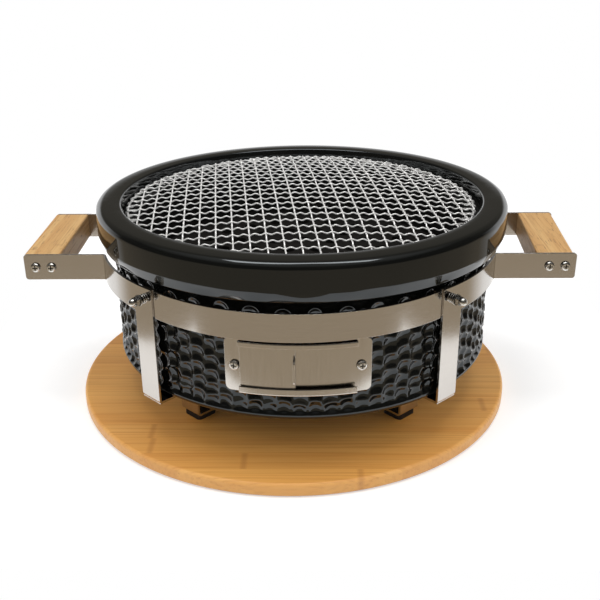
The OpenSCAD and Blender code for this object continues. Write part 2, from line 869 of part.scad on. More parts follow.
module vent_screws() {
    color(bright_steel) rotate([0, 0, vent_turn]) for (side = [-1, 1])
        outwards(side * vent_screw_az, plate_r, vent_mid_z) screw(vent_screw_l);
}

bamboo_board();
ceramic_body();
charcoal_grate();
mesh_hoop();
mesh_grate();
front_band();
back_band();
bracket_front_left();
bracket_front_right();
bracket_back_left();
bracket_back_right();
foot_pad_front_left();
foot_pad_front_right();
foot_pad_back_left();
foot_pad_back_right();
grip_left();
grip_right();
grip_screws_left();
grip_screws_right();
clamp_bolts();
clamp_washers();
cap_nuts();
clamp_spring_front_left();
clamp_spring_front_right();
clamp_spring_back_left();
clamp_spring_back_right();
vent_plate();
vent_door();
vent_screws();
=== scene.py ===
"""Looks of a charcoal brazier: a glazed, hammered bowl in a brushed sheet-steel frame with
wooden grips, a woven wire mesh in its mouth, and a round bamboo board under it.

Sizes are in millimetres until a mesh is made. The origin is on the board's underside, below
the bowl's centre; -Y is the front, and an azimuth counts in degrees from the front towards +X.
"""
import math

import bpy
import numpy as np
from mathutils import Matrix, Vector


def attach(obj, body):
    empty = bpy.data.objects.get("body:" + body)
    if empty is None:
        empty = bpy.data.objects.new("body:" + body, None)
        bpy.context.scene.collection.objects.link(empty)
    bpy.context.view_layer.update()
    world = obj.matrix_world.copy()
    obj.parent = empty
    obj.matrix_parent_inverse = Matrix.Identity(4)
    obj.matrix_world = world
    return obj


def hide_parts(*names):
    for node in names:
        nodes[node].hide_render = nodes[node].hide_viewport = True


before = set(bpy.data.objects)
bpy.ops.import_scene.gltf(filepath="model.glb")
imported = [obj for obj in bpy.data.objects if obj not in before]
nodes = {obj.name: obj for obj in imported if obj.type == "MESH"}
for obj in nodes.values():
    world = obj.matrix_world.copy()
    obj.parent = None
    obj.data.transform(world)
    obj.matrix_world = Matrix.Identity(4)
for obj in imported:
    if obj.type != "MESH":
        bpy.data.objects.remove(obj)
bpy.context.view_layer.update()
scene = bpy.context.scene
MM = 0.001
rng = np.random.default_rng(7)

# Sizes shared with the solids
BOARD_R, BOARD_T, BOARD_ROUND, BOARD_X = 192.4, 11.5, 3.0, -8.5
WALL_R, RIM_R, RIM_Z, SEAT_Z, BOWL_Z = 163.5, 175.0, 180.0, 46.0, 48.0
FOOT_IN_R, FOOT_OUT_R = 120.0, 150.0
MOUTH_R, MOUTH_LOW_R, FIRE_R, FIRE_LOW_R, ASH_R = 154.0, 152.5, 141.0, 139.0, 128.0
MESH_LEDGE_Z, GRATE_LEDGE_Z, FLOOR_Z, FLOOR_ROUND = 166.4, 112.0, 62.0, 10.0
VENT_TURN, DOOR_MID_AZ = -0.5, -7.752
PORT_X, PORT_Z = WALL_R * math.sin(math.radians(DOOR_MID_AZ)), 94.1
PORT_HALF_W, PORT_HALF_H, PORT_ROUND = 14.0, 13.5, 5.0
CLAMP_AZ, CLAMP_Z, FRONT_HALF_X = 41.757, 135.0, -2.0
SPRING_R, SPRING_WIRE_R, SPRING_FOOT_R, SPRING_L, SPRING_TURNS = 3.25, 0.55, 171.3, 5.6, 3

# Radius at which a surface of revolution stops short of the axis
CENTRE_R = 0.5


# ---------------------------------------------------------------- meshes


def polar(r, az):
    """Plan point at a radius and an azimuth in degrees."""
    a = np.radians(az)
    return np.stack([r * np.sin(a), -r * np.cos(a)], -1)


def make(name, parts, body, material, replaces):
    """One smooth object from (vertices, faces) parts, riding on a body."""
    verts, faces, base = [], [], 0
    for v, f in parts:
        v = np.asarray(v, float)
        verts.append(v)
        faces.extend([[i + base for i in face] for face in f])
        base += len(v)
    mesh = bpy.data.meshes.new(name)
    mesh.from_pydata((np.concatenate(verts) * MM).tolist(), [], faces)
    mesh.shade_smooth()
    mesh.materials.append(material)
    mesh.update()
    obj = bpy.data.objects.new(name, mesh)
    scene.collection.objects.link(obj)
    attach(obj, body)
    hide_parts(*replaces)


def grid_faces(rows, cols, wrap, skip=None):
    """Quads between rows of vertices; wrap closes each row, and skip(row, column) leaves one out."""
    faces = []
    for k in range(rows - 1):
        for i in range(cols if wrap else cols - 1):
            if skip and skip(k, i):
                continue
            j = (i + 1) % cols
            faces.append([k * cols + i, k * cols + j, (k + 1) * cols + j, (k + 1) * cols + i])
    return faces


def fillet(points, steps=6):
    """Polyline whose corners (x, y, radius) are rounded by arcs."""
    out = []
    for k, (x, y, r) in enumerate(points):
        here = np.array([x, y], float)
        if r == 0 or k in (0, len(points) - 1):
            out.append(here)
            continue
        a = np.array(points[k - 1][:2], float) - here
        b = np.array(points[k + 1][:2], float) - here
        a, b = a / np.linalg.norm(a), b / np.linalg.norm(b)
        half = math.acos(np.clip(a @ b, -1, 1)) / 2
        cut = r / math.tan(half)
        mid = here + (a + b) / np.linalg.norm(a + b) * r / math.sin(half)
        p, q = here + a * cut - mid, here + b * cut - mid
        angle = math.acos(np.clip(p @ q / r / r, -1, 1))
        for t in np.linspace(0, 1, steps + 1):
            on_arc = math.sin((1 - t) * angle) * p + math.sin(t * angle) * q
            out.append(mid + on_arc / math.sin(angle))
    return np.array(out)


def ring_row(r, z, cols):
    """Vertices of a level circle about the axis."""
    return np.column_stack([polar(r, np.arange(cols) * 360 / cols), np.full(cols, z)])


def revolved(profile, cols):
    """Surface of revolution from a polyline of radius and height."""
    rows = [ring_row(r, z, cols) for r, z in profile]
    return np.concatenate(rows), grid_faces(len(profile), cols, True)


def tube(points, radius, sides, side=None, caps=True):
    """Round tube along points; side is a fixed direction across a flat path."""
    p = np.asarray(points, float)
    tangent = np.gradient(p, axis=0)
    tangent /= np.linalg.norm(tangent, axis=1)[:, None]
    if side is None:
        across = np.zeros_like(p)
        a = np.cross(tangent[0], [0, 0, 1.0])
        for k, t in enumerate(tangent):
            a = a - (a @ t) * t
            a = a / np.linalg.norm(a)
            across[k] = a
    else:
        across = np.repeat(np.asarray(side, float)[None], len(p), 0)
    up = np.cross(across, tangent)
    turn = np.arange(sides) * 2 * math.pi / sides
    ring = (p[:, None] + radius * (np.cos(turn)[None, :, None] * across[:, None]
                                   + np.sin(turn)[None, :, None] * up[:, None]))
    faces = [f[::-1] for f in grid_faces(len(p), sides, True)]
    if caps:
        faces.append(list(range(sides)))
        faces.append([(len(p) - 1) * sides + k for k in range(sides)][::-1])
    return ring.reshape(-1, 3), faces


# ---------------------------------------------------------------- materials


class Nodes:
    """Adds nodes to a tree and joins them."""

    def __init__(self, tree):
        self.tree = tree

    def add(self, kind, inputs=None, **props):
        node = self.tree.nodes.new(kind)
        for key, value in props.items():
            setattr(node, key, value)
        for key, value in (inputs or {}).items():
            self.put(node.inputs[key], value)
        return node

    def put(self, socket, value):
        if isinstance(value, bpy.types.NodeSocket):
            self.tree.links.new(value, socket)
        else:
            socket.default_value = value

    def math(self, operation, a, b=0.0, clamp=False):
        node = self.add("ShaderNodeMath", {0: a, 1: b}, operation=operation, use_clamp=clamp)
        return node.outputs[0]

    def span(self, value, low, high, out_low=0.0, out_high=1.0):
        inputs = {0: value, 1: low, 2: high, 3: out_low, 4: out_high}
        return self.add("ShaderNodeMapRange", inputs).outputs[0]

    def mix(self, fac, a, b):
        node = self.add("ShaderNodeMix", data_type="RGBA")
        for key, value in ((0, fac), (6, a), (7, b)):
            self.put(node.inputs[key], value)
        return node.outputs[2]

    def radius(self, x, y):
        """Distance of a place from the axis."""
        squares = self.math("ADD", self.math("POWER", x, 2.0), self.math("POWER", y, 2.0))
        return self.math("SQRT", squares)

    def any_ray(self, *kinds):
        """1 for the named kinds of ray and 0 for the others."""
        path = self.add("ShaderNodeLightPath")
        total = path.outputs[kinds[0]]
        for kind in kinds[1:]:
            total = self.math("ADD", total, path.outputs[kind], clamp=True)
        return total


class Paint(Nodes):
    """Builds the material of an object step by step."""

    def __init__(self, name):
        self.mat = bpy.data.materials.new(name)
        self.mat.use_nodes = True
        super().__init__(self.mat.node_tree)
        self.bsdf = self.tree.nodes["Principled BSDF"]
        self.place = self.add("ShaderNodeTexCoord").outputs["Object"]

    def set(self, **inputs):
        for key, value in inputs.items():
            self.put(self.bsdf.inputs[key.replace("_", " ")], value)

    def axes(self):
        return self.add("ShaderNodeSeparateXYZ", {0: self.place}).outputs

    def stretch(self, scale):
        return self.add("ShaderNodeMapping", {"Vector": self.place, "Scale": scale}).outputs[0]

    def noise(self, scale, detail=2.0, rough=0.5, where=None):
        inputs = {"Vector": where or self.place, "Scale": scale, "Detail": detail, "Roughness": rough}
        return self.add("ShaderNodeTexNoise", inputs).outputs["Fac"]

    def bump(self, height, strength, distance, normal=None):
        inputs = {"Height": height, "Strength": strength, "Distance": distance}
        if normal is not None:
            inputs["Normal"] = normal
        return self.add("ShaderNodeBump", inputs).outputs[0]


def rgb(red, green, blue):
    """Linear colour from 0-255 display values."""
    def linear(v):
        v /= 255
        return v / 12.92 if v <= 0.04045 else ((v + 0.055) / 1.055) ** 2.4
    return (linear(red), linear(green), linear(blue), 1.0)


def darker(colour, share):
    return tuple(c * share for c in colour[:3]) + (1.0,)


def glaze_material():
    """Glossy glaze outside and over the mouth, dull and sooty below the mesh's ledge inside."""
    m = Paint("black_glaze")
    x, y, z = m.axes()
    sooty_r, sooty_z = (0.1532, 0.1528), (0.170, 0.169)
    inside = m.math("MULTIPLY", m.span(m.radius(x, y), *sooty_r), m.span(z, *sooty_z))
    cloud = m.noise(9.0, 3.0)
    glossy = m.mix(m.span(cloud, 0.35, 0.7), rgb(9, 10, 9), rgb(15, 15, 13))
    soot = m.mix(m.noise(60.0, 5.0), rgb(12, 11, 10), rgb(24, 21, 18))
    m.set(Base_Color=m.mix(inside, glossy, soot))
    gloss = m.span(m.noise(60.0, 4.0), 0.3, 0.7, 0.03, 0.06)
    m.set(Roughness=m.span(inside, 0.0, 1.0, gloss, 0.75))
    m.set(Specular_IOR_Level=m.span(inside, 0.0, 1.0, 0.45, 0.15))
    m.set(IOR=1.6, Specular_Tint=(0.89, 0.96, 1.0, 1.0))
    orange_peel = m.noise(140.0, 2.0)
    m.set(Normal=m.bump(orange_peel, 0.05, 0.0004))
    return m.mat


def steel_material(name, colour, streak_scale):
    """Brushed sheet; the streaks are short across and long along the brushing."""
    m = Paint(name)
    streak = m.noise(1.0, 5.0, 0.65, where=m.stretch(streak_scale))
    cloud = m.noise(14.0, 3.0)
    m.set(Metallic=1.0, Base_Color=m.mix(m.span(streak, 0.3, 0.7), darker(colour, 0.94), colour))
    m.set(Roughness=m.math("ADD", m.span(streak, 0.25, 0.75, 0.13, 0.17),
                           m.span(cloud, 0.3, 0.7, -0.01, 0.02)))
    edge = m.add("ShaderNodeBevel", {"Radius": 0.0004}, samples=4).outputs[0]
    m.set(Normal=m.bump(streak, 0.003, 0.0001, edge))
    return m.mat


def bright_material(name, colour, rough, metallic, recess):
    """Bright metal, with painted shade where it is shut in closer than recess, as in a cross recess.
    """
    m = Paint(name)
    scratch = m.noise(900.0, 3.0)
    tone = m.mix(m.noise(40.0), darker(colour, 0.88), colour)
    if recess:
        # painted shade: ambient occlusion turns the colour towards near black where the metal is shut
        # in, as in a cross recess
        painted_recess_shade = m.add("ShaderNodeAmbientOcclusion", {"Distance": recess}, samples=8).outputs["AO"]
        tone = m.mix(m.span(painted_recess_shade, 0.5, 0.92), rgb(24, 22, 20), tone)
    m.set(Metallic=metallic, Base_Color=tone)
    m.set(Roughness=m.span(scratch, 0.3, 0.7, rough - 0.06, rough + 0.1))
    return m.mat


def strips(m, across, along, width, node_pitch):
    """Laminated bamboo strips: a random tone for each, and 1 at the knots across it."""
    number = m.math("FLOOR", m.math("DIVIDE", across, width))
    tone = m.add("ShaderNodeTexWhiteNoise", {"W": number}, noise_dimensions="1D").outputs["Value"]
    place = m.math("FRACT", m.math("ADD", m.math("DIVIDE", along, node_pitch),
                                   m.math("MULTIPLY", tone, 7.3)))
    off = m.math("ABSOLUTE", m.math("SUBTRACT", place, 0.5))
    return tone, m.span(off, 0.008, 0.002)


def bamboo_material():
    """Wide strips along X with long fibres, and a paler edge."""
    m = Paint("oiled_bamboo")
    x, y, _ = m.axes()
    tone, knot = strips(m, y, x, 0.0215, 0.43)
    fibre = m.noise(1.0, 6.0, 0.6, where=m.stretch((9.0, 680.0, 400.0)))
    band = m.noise(1.0, 3.0, 0.55, where=m.stretch((2.5, 120.0, 60.0)))
    base = m.mix(m.span(band, 0.3, 0.7), rgb(224, 159, 78), rgb(236, 180, 100))
    base = m.mix(m.span(tone, 0.0, 1.0, 0.0, 0.55), base, rgb(200, 132, 60))
    base = m.mix(m.span(fibre, 0.48, 0.85), base, rgb(190, 122, 54))
    base = m.mix(m.math("MULTIPLY", knot, 0.3), base, rgb(150, 84, 34))
    reach = m.radius(m.math("SUBTRACT", x, BOARD_X * MM), y)
    edge = m.span(reach, 0.1905, 0.1918, 0.0, 0.12)
    m.set(Base_Color=m.mix(edge, base, rgb(240, 200, 146)))
    m.set(Roughness=m.span(fibre, 0.3, 0.7, 0.36, 0.5))
    m.set(Normal=m.bump(fibre, 0.08, 0.0003))
    return m.mat


def grip_material():
    """Narrow pale strips along Y, with fine dark pores."""
    m = Paint("sanded_pale_wood")
    x, y, _ = m.axes()
    tone, knot = strips(m, x, y, 0.0062, 0.17)
    fibre = m.noise(1.0, 6.0, 0.6, where=m.stretch((620.0, 12.0, 620.0)))
    base = m.mix(tone, rgb(206, 166, 108), rgb(190, 142, 84))
    base = m.mix(m.span(fibre, 0.5, 0.75), base, rgb(164, 116, 64))
    pores = m.noise(1.0, 3.0, 0.6, where=m.stretch((1100.0, 70.0, 1100.0)))
    base = m.mix(m.span(pores, 0.6, 0.67, 0.0, 0.7), base, rgb(92, 58, 30))
    base = m.mix(m.math("MULTIPLY", knot, 0.45), base, rgb(140, 92, 48))
    m.set(Base_Color=base, Roughness=m.span(fibre, 0.3, 0.7, 0.45, 0.6))
    m.set(Normal=m.bump(fibre, 0.12, 0.0003))
    return m.mat


def rubber_material():
    m = Paint("black_rubber")
    grain = m.noise(700.0, 4.0)
    m.set(Base_Color=m.mix(grain, rgb(22, 20, 19), rgb(38, 35, 33)), Roughness=0.7)
    m.set(Normal=m.bump(grain, 0.2, 0.0003))
    return m.mat


def iron_material():
    m = Paint("cast_iron")
    grain = m.noise(500.0, 6.0)
    m.set(Base_Color=m.mix(grain, rgb(15, 14, 13), rgb(30, 27, 24)))
    m.set(Roughness=0.85, Specular_IOR_Level=0.2)
    m.set(Normal=m.bump(grain, 0.4, 0.0005))
    return m.mat


GLAZE = glaze_material()
STRAP_STEEL = steel_material("brushed_straps", rgb(206, 201, 195), (90.0, 90.0, 1400.0))
VENT_STEEL = steel_material("brushed_vent", rgb(210, 205, 198), (700.0, 700.0, 40.0))
# the fasteners carry painted shade in their cross recesses, out to 2 mm
FASTENER = bright_material("bright_fasteners", rgb(222, 220, 215), 0.22, 1.0, 0.002)
WIRE = bright_material("drawn_wire", rgb(250, 249, 247), 0.3, 0.5, 0)
BAMBOO = bamboo_material()
GRIP_WOOD = grip_material()
RUBBER = rubber_material()
IRON = iron_material()


# ---------------------------------------------------------------- bowl

COLS = 1056
az = np.arange(COLS) * 360 / COLS
# the hammered wall between these heights has a row of vertices at each millimetre
WALL_LOW_Z, WALL_TOP_Z = 55.0, 146.0
# the rim draws in by RIM_DRAW below DRAFT_Z, and its glaze hangs a little below the solid's
DRAFT_Z, RIM_LOW_Z, RIM_DRAW = 158.0, 148.5, 3.5
# the outside and the inside of the bowl meet on top of the rim at this radius
RIM_SPLIT_R = 165.0
# the flat underside ends at this radius, a little inside the foot ring
UNDER_R = 118.0

DIMPLE_COLS, DIMPLE_ROWS, ROW_PITCH = 88, 7, 12.6
TOP_ROW_Z, LOW_ROW_Z = RIM_Z - 48.0, BOWL_Z + 9.5
# every second column of dimples stands higher
STAGGER = 2.6
# half width, half height and depth of a dimple, each with its spread
DIMPLE_WIDE, DIMPLE_TALL, DIMPLE_DEEP = (7.3, 0.6), (7.7, 0.7), (3.4, 0.4)
# how far a dimple strays upwards or along the wall
STRAY_Z, STRAY_S = 1.5, 1.2
# the dimples grow from nothing above the first height and die out below the second
GROW_Z, DIE_Z = 51.5, RIM_LOW_Z - 3
# the plate of the vent lies on a smooth field of the wall
FIELD_HALF_AZ, FIELD_LOW_Z, FIELD_TOP_Z = 18.6, 74, 114

# block of the wall round the port, in degrees left of the front and in height, filled by a patch
PATCH_AZ, PATCH_Z = (14.6, 0.9), (78, 110)
# radii of the rings of vertices along the port's bore
BORE_RADII = WALL_R, WALL_R - 1, 150.0, ASH_R + 1, ASH_R
# the ash chamber's straight wall, with a row of vertices at each millimetre
ASH_TOP_Z, ASH_LOW_Z = 109.0, 77.0


def about(size, spread):
    """A random size round the given one."""
    return size + rng.uniform(-spread, spread)


def dimple_depths(z):
    """Depth of the hammered dimples over the wall, for heights z and all columns."""
    depth = np.zeros((len(z), COLS))
    arc = np.radians(az) * WALL_R
    whole = 2 * math.pi * WALL_R
    for c in range(DIMPLE_COLS):
        stagger = STAGGER if c % 2 else -STAGGER
        for k in range(DIMPLE_ROWS):
            mid_z = max(about(TOP_ROW_Z - ROW_PITCH * k + stagger, STRAY_Z), LOW_ROW_Z)
            mid_s = about((c * 360 / DIMPLE_COLS) / 360 * whole, STRAY_S)
            wide, tall, deep = about(*DIMPLE_WIDE), about(*DIMPLE_TALL), about(*DIMPLE_DEEP)
            ds = (arc - mid_s + whole / 2) % whole - whole / 2
            near = np.where(np.abs(ds) < wide)[0]
            rows = np.where(np.abs(z - mid_z) < tall)[0]
            t = (ds[near][None] / wide) ** 2 + ((z[rows][:, None] - mid_z) / tall) ** 2
            block = np.ix_(rows, near)
            depth[block] = np.maximum(depth[block], deep * np.clip(1 - t, 0, 1))
    # soften the ridges between the dimples
    kernel = np.array([0.25, 0.5, 0.25])
    depth = sum(w * np.roll(depth, k - 1, axis=1) for k, w in enumerate(kernel))
    padded = np.pad(depth, ((1, 1), (0, 0)), mode="edge")
    depth = sum(w * padded[k:k + len(z)] for k, w in enumerate(kernel))
    ends = np.clip((z - GROW_Z) / 2.5, 0, 1) * np.clip((DIE_Z - z) / 2, 0, 1)
    return depth * ends[:, None]


def soft_waves(rows, reach):
    """Slow unevenness of the glaze, of about this reach in millimetres."""
    total = np.zeros((rows, COLS))
    k = np.arange(rows)[:, None]
    for _ in range(14):
        turns = int(rng.integers(6, 40))
        tilt = rng.uniform(-0.25, 0.25)
        phase = rng.uniform(0, 2 * math.pi)
        total += np.sin(np.radians(az)[None] * turns + tilt * k + phase) / turns
    return total * reach


def bowl_outside():
    """Radius of each vertex outside, the rows' heights, and the first row of the hammered wall."""
    low = fillet([(UNDER_R, BOWL_Z, 0), (FOOT_IN_R, BOWL_Z, 0.6), (FOOT_IN_R, SEAT_Z, 0.6),
                  (FOOT_OUT_R, SEAT_Z, 0.6), (FOOT_OUT_R, BOWL_Z, 0.8), (WALL_R, BOWL_Z, 5.0),
                  (WALL_R, WALL_LOW_Z - 1, 0)])
    wall_z = np.arange(WALL_LOW_Z, WALL_TOP_Z + 0.5, 1.0)
    wall = np.column_stack([np.full(len(wall_z), WALL_R), wall_z])
    high = fillet([(WALL_R, 146.8, 0), (WALL_R, RIM_LOW_Z, 1.2), (RIM_R - RIM_DRAW, RIM_LOW_Z, 2.6),
                   (RIM_R, DRAFT_Z, 4.0), (RIM_R, RIM_Z, 6.0), (RIM_SPLIT_R, RIM_Z, 0)], 10)
    profile = np.concatenate([low, wall, high])
    r = np.repeat(profile[:, 0][:, None], COLS, 1)
    z = profile[:, 1]
    depth = dimple_depths(wall_z)
    near_front = np.abs((az + 180) % 360 - 180 - VENT_TURN) < FIELD_HALF_AZ
    at_vent = (wall_z > FIELD_LOW_Z) & (wall_z < FIELD_TOP_Z)
    depth[np.ix_(at_vent, near_front)] = 0
    first = len(low)
    r[first:first + len(wall_z)] -= depth
    rim_side = np.where((r[:, 0] > RIM_R - 3) & (z > RIM_LOW_Z + 1.5))[0]
    r[rim_side] += soft_waves(len(rim_side), 0.5)
    return r, z, first


def port_outline(counts):
    """Outline of the draught port in x and height, as four sides of the given counts of points."""
    corners = []
    for cx, cy, start in ((1, -1, -90), (1, 1, 0), (-1, 1, 90), (-1, -1, 180)):
        t = np.radians(start + np.linspace(0, 90, 13))
        corners.append(np.column_stack([cx * (PORT_HALF_W - PORT_ROUND) + PORT_ROUND * np.cos(t),
                                        cy * (PORT_HALF_H - PORT_ROUND) + PORT_ROUND * np.sin(t)]))
    sides = []
    for k in range(4):
        # from the middle of corner k - 1 to the middle of corner k
        line = np.concatenate([corners[k - 1][6:], corners[k][:7]])
        steps = np.linalg.norm(np.diff(line, axis=0), axis=1)
        length = np.concatenate([[0], np.cumsum(steps)])
        t = np.linspace(0, length[-1], counts[k] + 1)[:-1]
        sides.append(np.column_stack([np.interp(t, length, line[:, 0]),
                                      np.interp(t, length, line[:, 1])]))
    return np.concatenate(sides) + np.array([PORT_X, PORT_Z])


def bowl_outer_part():
    """Outside of the bowl, with the port's bore through the wall."""
    r, z, first = bowl_outside()
    rows = len(z)
    verts = np.column_stack([polar(r.ravel(), np.tile(az, rows)), np.repeat(z, COLS)])
    i0, i1 = (COLS - int(a / 360 * COLS) for a in PATCH_AZ)
    k0, k1 = (first + int(h - WALL_LOW_Z) for h in PATCH_Z)
    faces = grid_faces(rows, COLS, True, skip=lambda k, i: k0 <= k < k1 and i0 <= i < i1)
    loop = ([k0 * COLS + i for i in range(i0, i1)] + [k * COLS + i1 for k in range(k0, k1)]
            + [k1 * COLS + i for i in range(i1, i0, -1)] + [k * COLS + i0 for k in range(k1, k0, -1)])
    outline = port_outline((i1 - i0, k1 - k0, i1 - i0, k1 - k0))
    turn = math.radians(VENT_TURN)

    def on_radius(radius):
        x, h = outline[:, 0], outline[:, 1]
        y = -np.sqrt(radius ** 2 - x ** 2)
        return np.column_stack([x * math.cos(turn) - y * math.sin(turn),
                                x * math.sin(turn) + y * math.cos(turn), h])

    base, n = len(verts), len(outline)
    bore = [on_radius(radius) for radius in BORE_RADII]
    verts = np.concatenate([verts] + bore)
    for k in range(n):
        j = (k + 1) % n
        faces.append([loop[k], loop[j], base + j, base + k])
        for ring in range(len(bore) - 1):
            a = base + ring * n
            faces.append([a + k, a + j, a + n + j, a + n + k])
    return verts, faces


def bowl_inner_parts():
    """Mouth, fire chamber and ash chamber; the chamber's wall is open at the port."""
    cols = COLS // 2
    upper = fillet([(RIM_SPLIT_R, RIM_Z, 0), (MOUTH_R, RIM_Z, 2.0), (MOUTH_LOW_R, MESH_LEDGE_Z, 1.5),
                    (FIRE_R, MESH_LEDGE_Z, 1.5), (FIRE_LOW_R, GRATE_LEDGE_Z, 1.5),
                    (ASH_R, GRATE_LEDGE_Z, 1.5), (ASH_R, ASH_TOP_Z, 0)])
    wall_z = np.arange(ASH_TOP_Z, ASH_LOW_Z - 1, -1.0)

    def open_here(k, i):
        a = (i + 0.5) * 360 / cols
        off = ASH_R * math.sin(math.radians(a - VENT_TURN)) - PORT_X
        in_front = math.cos(math.radians(a)) > 0
        return in_front and abs(off) < PORT_HALF_W and abs(wall_z[k] - 0.5 - PORT_Z) < PORT_HALF_H

    ash_rows = np.concatenate([ring_row(ASH_R, h, cols) for h in wall_z])
    ash_wall = ash_rows, grid_faces(len(wall_z), cols, True, skip=open_here)
    floor = fillet([(ASH_R, ASH_LOW_Z, 0), (ASH_R, FLOOR_Z, FLOOR_ROUND), (CENTRE_R, FLOOR_Z, 0)], 10)
    return [revolved(upper, cols), ash_wall, revolved(floor, cols)]


underside = revolved([(CENTRE_R, BOWL_Z), (UNDER_R, BOWL_Z)], COLS // 4)
make("glazed_bowl", [bowl_outer_part(), underside] + bowl_inner_parts(),
     "brazier", GLAZE, ["ceramic_body"])

# ---------------------------------------------------------------- wire mesh

PITCH, WIRE_R, EDGE_R, HOOP_R = 12.736, 0.65, 148.6, 0.8
MESH_EDGE_Z, MESH_RISE = 171.58, 9.92
DOME_R = (EDGE_R ** 2 + MESH_RISE ** 2) / (2 * MESH_RISE)
# the loose mesh rests on its ledge at the front and stands a little proud at the back
MESH_TILT, MESH_LEFT, MESH_BACK = 0.01, 1.0, 2.2
# directions of the two families of wires, and where their middle wires lie
FIRST_WAY, SECOND_WAY = 2.663, 95.914
FIRST_OFF, SECOND_OFF = 0.092 * PITCH, -0.214 * PITCH
SQUARE = math.sin(math.radians(SECOND_WAY - FIRST_WAY))
LEAN = -math.cos(math.radians(SECOND_WAY - FIRST_WAY))
# no wire runs closer to the edge than this, and each ends in a tail under the hoop
EDGE_GAP, TAIL = 4, np.array([2.0, 5.0, 8.5])
HALF_COUNT = 13


def dome_z(r):
    return MESH_EDGE_Z + MESH_RISE - DOME_R + np.sqrt(DOME_R ** 2 - r ** 2)


def laid(points):
    """Points of the level mesh, moved to where it lies in the mouth."""
    out = np.array(points, float)
    out[:, 2] += MESH_TILT * out[:, 1]
    out[:, 0] -= MESH_LEFT
    out[:, 1] += MESH_BACK
    return out


def woven_wires(direction, middle_off, cross_at, lean, crimp):
    """One family of crimped wires, each folded down round the hoop and back under it.

    Its middle wire lies middle_off off the centre, and meets the other family's middle wire
    at cross_at; lean is how far the meeting point moves along a wire per offset."""
    u = np.array([math.cos(math.radians(direction)), math.sin(math.radians(direction))])
    n = np.array([-u[1], u[0]])
    wrap_r = HOOP_R + WIRE_R
    wrap = np.radians(np.linspace(8, 180, 8))
    parts = []
    for k in range(-HALF_COUNT, HALF_COUNT + 1):
        off = middle_off + k * PITCH
        if abs(off) > EDGE_R - EDGE_GAP:
            continue
        half = math.sqrt(EDGE_R ** 2 - off ** 2)
        s = np.arange(-half, half + 0.01, 0.8)
        s = s * half / s[-1]
        place = off * n[None] + s[:, None] * u[None]
        z = dome_z(np.hypot(place[:, 0], place[:, 1]))
        fade = np.clip((half - np.abs(s)) / 3, 0, 1)
        sign = 1 if k % 2 else -1
        z = z + fade * sign * crimp((s - (cross_at + lean * off) / SQUARE) * SQUARE)
        ends = []
        for way in (-1, 1):
            reach = np.concatenate([way * (half + wrap_r * np.sin(wrap)), way * (half - TAIL)])
            level = np.concatenate([MESH_EDGE_Z - wrap_r + wrap_r * np.cos(wrap),
                                    np.full(len(TAIL), MESH_EDGE_Z - 2 * wrap_r)])
            ends.append(np.column_stack([off * n[None] + reach[:, None] * u[None], level]))
        path = np.concatenate([ends[0][::-1], np.column_stack([place, z]), ends[1]])
        parts.append(tube(laid(path), WIRE_R, 8, side=[n[0], n[1], 0]))
    return parts


def left_right_crimp(s):
    """Even waves, three half waves from one crossing wire to the next."""
    return 0.66 * np.cos(3 * math.pi * s / PITCH)


def front_back_crimp(s):
    """The same waves, flatter where the other wires cross."""
    return -(0.2 + 0.7 * np.sin(math.pi * s / PITCH) ** 2) * np.cos(3 * math.pi * s / PITCH)


left_right = woven_wires(FIRST_WAY, FIRST_OFF, -SECOND_OFF, -LEAN, left_right_crimp)
front_back = woven_wires(SECOND_WAY, SECOND_OFF, FIRST_OFF, LEAN, front_back_crimp)
hoop_az = np.linspace(0, 360, 257)
hoop_z = np.full(len(hoop_az), MESH_EDGE_Z - HOOP_R - WIRE_R)
hoop = tube(laid(np.column_stack([polar(EDGE_R, hoop_az), hoop_z])), HOOP_R, 10, caps=False)
make("woven_wires", left_right + front_back, "mesh", WIRE, ["mesh_grate"])
make("mesh_hem_hoop", [hoop], "mesh", WIRE, ["mesh_hoop"])

# ---------------------------------------------------------------- board

FLAT_R = 180.0
board_profile = fillet([(CENTRE_R, BOARD_T, 0), (FLAT_R, BOARD_T, 0), (BOARD_R, BOARD_T, BOARD_ROUND),
                        (BOARD_R, 0.0, BOARD_ROUND), (FLAT_R, 0.0, 0), (CENTRE_R, 0.0, 0)], 8)
board_verts, board_faces = revolved(board_profile, 288)
board_verts[:, 0] += BOARD_X
make("round_bamboo_board", [(board_verts, [f[::-1] for f in board_faces])],
     "board", BAMBOO, ["bamboo_board"])

# ---------------------------------------------------------------- springs


def spring(side, end):
    """Clamp spring at a corner: side is -1 left or 1 right, end is -1 front or 1 back."""
    corner = math.radians(CLAMP_AZ)
    outwards = np.array([side * math.sin(corner), end * math.cos(corner), 0])
    level = np.array([-outwards[1], outwards[0], 0])
    foot = np.array([FRONT_HALF_X if end < 0 else 0.0, 0, CLAMP_Z])
    t = np.linspace(0, SPRING_TURNS, 24 * SPRING_TURNS + 1)
    turn = 2 * math.pi * t
    along = SPRING_FOOT_R + SPRING_WIRE_R + t * SPRING_L / SPRING_TURNS
    path = (along[:, None] * outwards + SPRING_R * np.cos(turn)[:, None] * level
            + SPRING_R * np.sin(turn)[:, None] * np.array([0, 0, 1.0]) + foot)
    return tube(path, SPRING_WIRE_R, 10)


for side, word in ((-1, "left"), (1, "right")):
    for end, place in ((-1, "front"), (1, "back")):
        make(f"coiled_spring_{place}_{word}", [spring(side, end)], "brazier",
             FASTENER, [f"clamp_spring_{place}_{word}"])

# ---------------------------------------------------------------- materials of the kept solids

